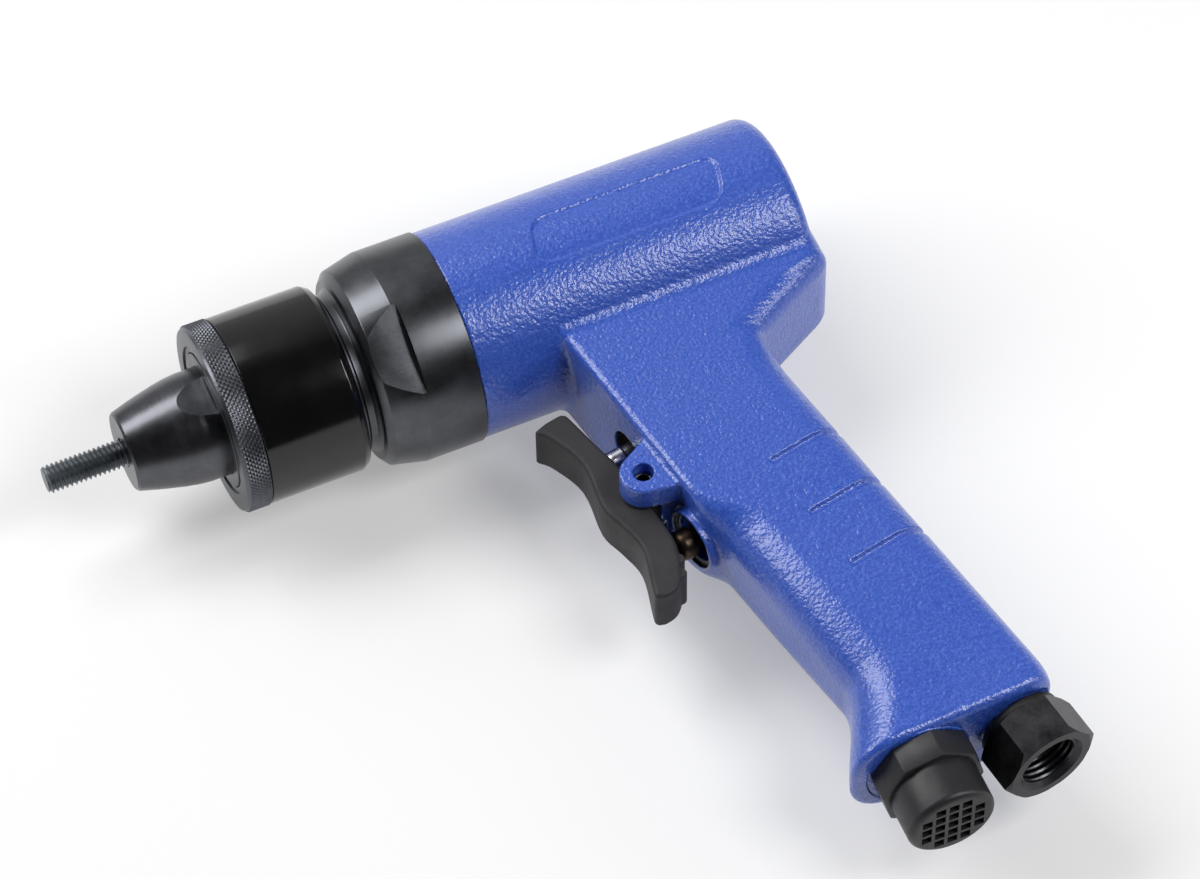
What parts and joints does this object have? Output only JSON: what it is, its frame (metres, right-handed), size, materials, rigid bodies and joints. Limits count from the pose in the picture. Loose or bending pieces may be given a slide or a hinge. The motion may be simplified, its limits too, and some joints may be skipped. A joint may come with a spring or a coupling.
{
  "type": "air rivet nut tool",
  "caption": "Pistol-grip air tool that spins a threaded mandrel and draws blind rivet nuts, with rocker trigger, stroke sleeve, air inlet and silencer.",
  "frame": {"origin": "on the barrel axis at the nosepiece's front face, where the mandrel's thread comes out", "axes": "-X points forward along the mandrel; -Y points down the grip; +Z is the tool's left side, which faces up as the tool lies on its right side"},
  "size_m": [0.1639, 0.1689, 0.045],
  "materials": {
    "blue_paint": "glossy blue hammertone paint over cast aluminium",
    "black_oxide": "satin black oxide on steel",
    "gloss_black": "gloss black coat on steel",
    "mandrel_steel": "dark hardened alloy steel",
    "steel": "ground steel",
    "spring_steel": "oiled spring steel",
    "brass": "turned brass",
    "bronze": "dark bronze",
    "rubber": "matt nitrile rubber",
    "trigger_nylon": "matt glass-filled nylon",
    "silencer_plastic": "satin black moulding",
    "vane_resin": "laminated resin",
    "gasket_fibre": "pressed fibre",
    "felt": "felt"
  },
  "bodies": {
    "housing": {"housing": "blue_paint", "front_collar": "black_oxide", "collar_seal": "rubber", "guide_pin": "steel", "spindle_bearing": "steel", "thrust_bearing": "steel", "ring_gear": "steel", "motor_cylinder": "steel", "front_end_plate": "steel", "rear_end_plate": "steel", "front_rotor_bearing": "steel", "rear_rotor_bearing": "steel", "alignment_pin": "steel", "rear_gasket": "gasket_fibre", "trigger_pin": "steel", "forward_valve_bush": "brass", "reverse_valve_bush": "brass", "forward_spring_seat": "brass", "reverse_spring_seat": "brass", "forward_valve_spring": "spring_steel", "reverse_valve_spring": "spring_steel", "inlet_bushing": "black_oxide", "inlet_washer": "rubber", "inlet_screen": "steel", "silencer": "silencer_plastic", "silencer_felt": "felt"},
    "trigger": {"trigger": "trigger_nylon"},
    "forward_valve": {"forward_valve_stem": "steel", "forward_valve_seal": "rubber"},
    "reverse_valve": {"reverse_valve_stem": "bronze", "reverse_valve_seal": "rubber"},
    "nose": {"nose_holder": "black_oxide", "nosepiece": "black_oxide"},
    "sleeve": {"adjusting_sleeve": "gloss_black", "lock_ring": "black_oxide", "nose_circlip": "spring_steel"},
    "spindle": {"drive_spindle": "steel", "mandrel_chuck": "steel", "mandrel": "mandrel_steel", "planet_pins": "steel"},
    "planet_1": {"planet_gear_1": "steel"},
    "planet_2": {"planet_gear_2": "steel"},
    "planet_3": {"planet_gear_3": "steel"},
    "rotor": {"rotor": "steel", "rotor_vanes": "vane_resin"}
  },
  "joints": [
    {"name": "trigger_rock", "type": "hinge", "parent": "housing", "child": "trigger", "pos_m": [0.0899, -0.0548, 0], "axis": [0, 0, 1], "range_deg": [-7, 7], "stiffness_Nm_per_rad": 0.3},
    {"name": "forward_valve_slide", "type": "slide", "parent": "housing", "child": "forward_valve", "axis": [0.9816, 0.1908, 0], "range_m": [-0.0016, 0.0016], "deforming": ["forward_valve_spring"]},
    {"name": "reverse_valve_slide", "type": "slide", "parent": "housing", "child": "reverse_valve", "axis": [0.9816, 0.1908, 0], "range_m": [-0.0016, 0.0016], "deforming": ["reverse_valve_spring"]},
    {"name": "stroke_slide", "type": "slide", "parent": "housing", "child": "nose", "axis": [1, 0, 0], "range_m": [-0.0016, 0.0031]},
    {"name": "sleeve_turn", "type": "hinge", "parent": "nose", "child": "sleeve", "pos_m": [0.035, 0, 0], "axis": [1, 0, 0], "range_deg": [-360, 720]},
    {"name": "spindle_spin", "type": "hinge", "parent": "housing", "child": "spindle", "pos_m": [0.05, 0, 0], "axis": [1, 0, 0], "continuous": true},
    {"name": "planet_1_spin", "type": "hinge", "parent": "spindle", "child": "planet_1", "pos_m": [0.072, 0.00945, 0], "axis": [1, 0, 0], "continuous": true},
    {"name": "planet_2_spin", "type": "hinge", "parent": "spindle", "child": "planet_2", "pos_m": [0.072, -0.00473, 0.00818], "axis": [1, 0, 0], "continuous": true},
    {"name": "planet_3_spin", "type": "hinge", "parent": "spindle", "child": "planet_3", "pos_m": [0.072, -0.00473, -0.00818], "axis": [1, 0, 0], "continuous": true},
    {"name": "rotor_spin", "type": "hinge", "parent": "housing", "child": "rotor", "pos_m": [0.11, 0, 0], "axis": [1, 0, 0], "continuous": true}
  ],
  "couplings": [
    {"joint": "forward_valve_slide", "follows": "trigger_rock", "m_per_rad": -0.0122},
    {"joint": "reverse_valve_slide", "follows": "trigger_rock", "m_per_rad": 0.0122},
    {"joint": "stroke_slide", "follows": "sleeve_turn", "m_per_rad": 0.00023873},
    {"joint": "planet_1_spin", "follows": "spindle_spin", "ratio": -2.8},
    {"joint": "planet_2_spin", "follows": "spindle_spin", "ratio": -2.8},
    {"joint": "planet_3_spin", "follows": "spindle_spin", "ratio": -2.8},
    {"joint": "rotor_spin", "follows": "spindle_spin", "ratio": 4.5}
  ]
}
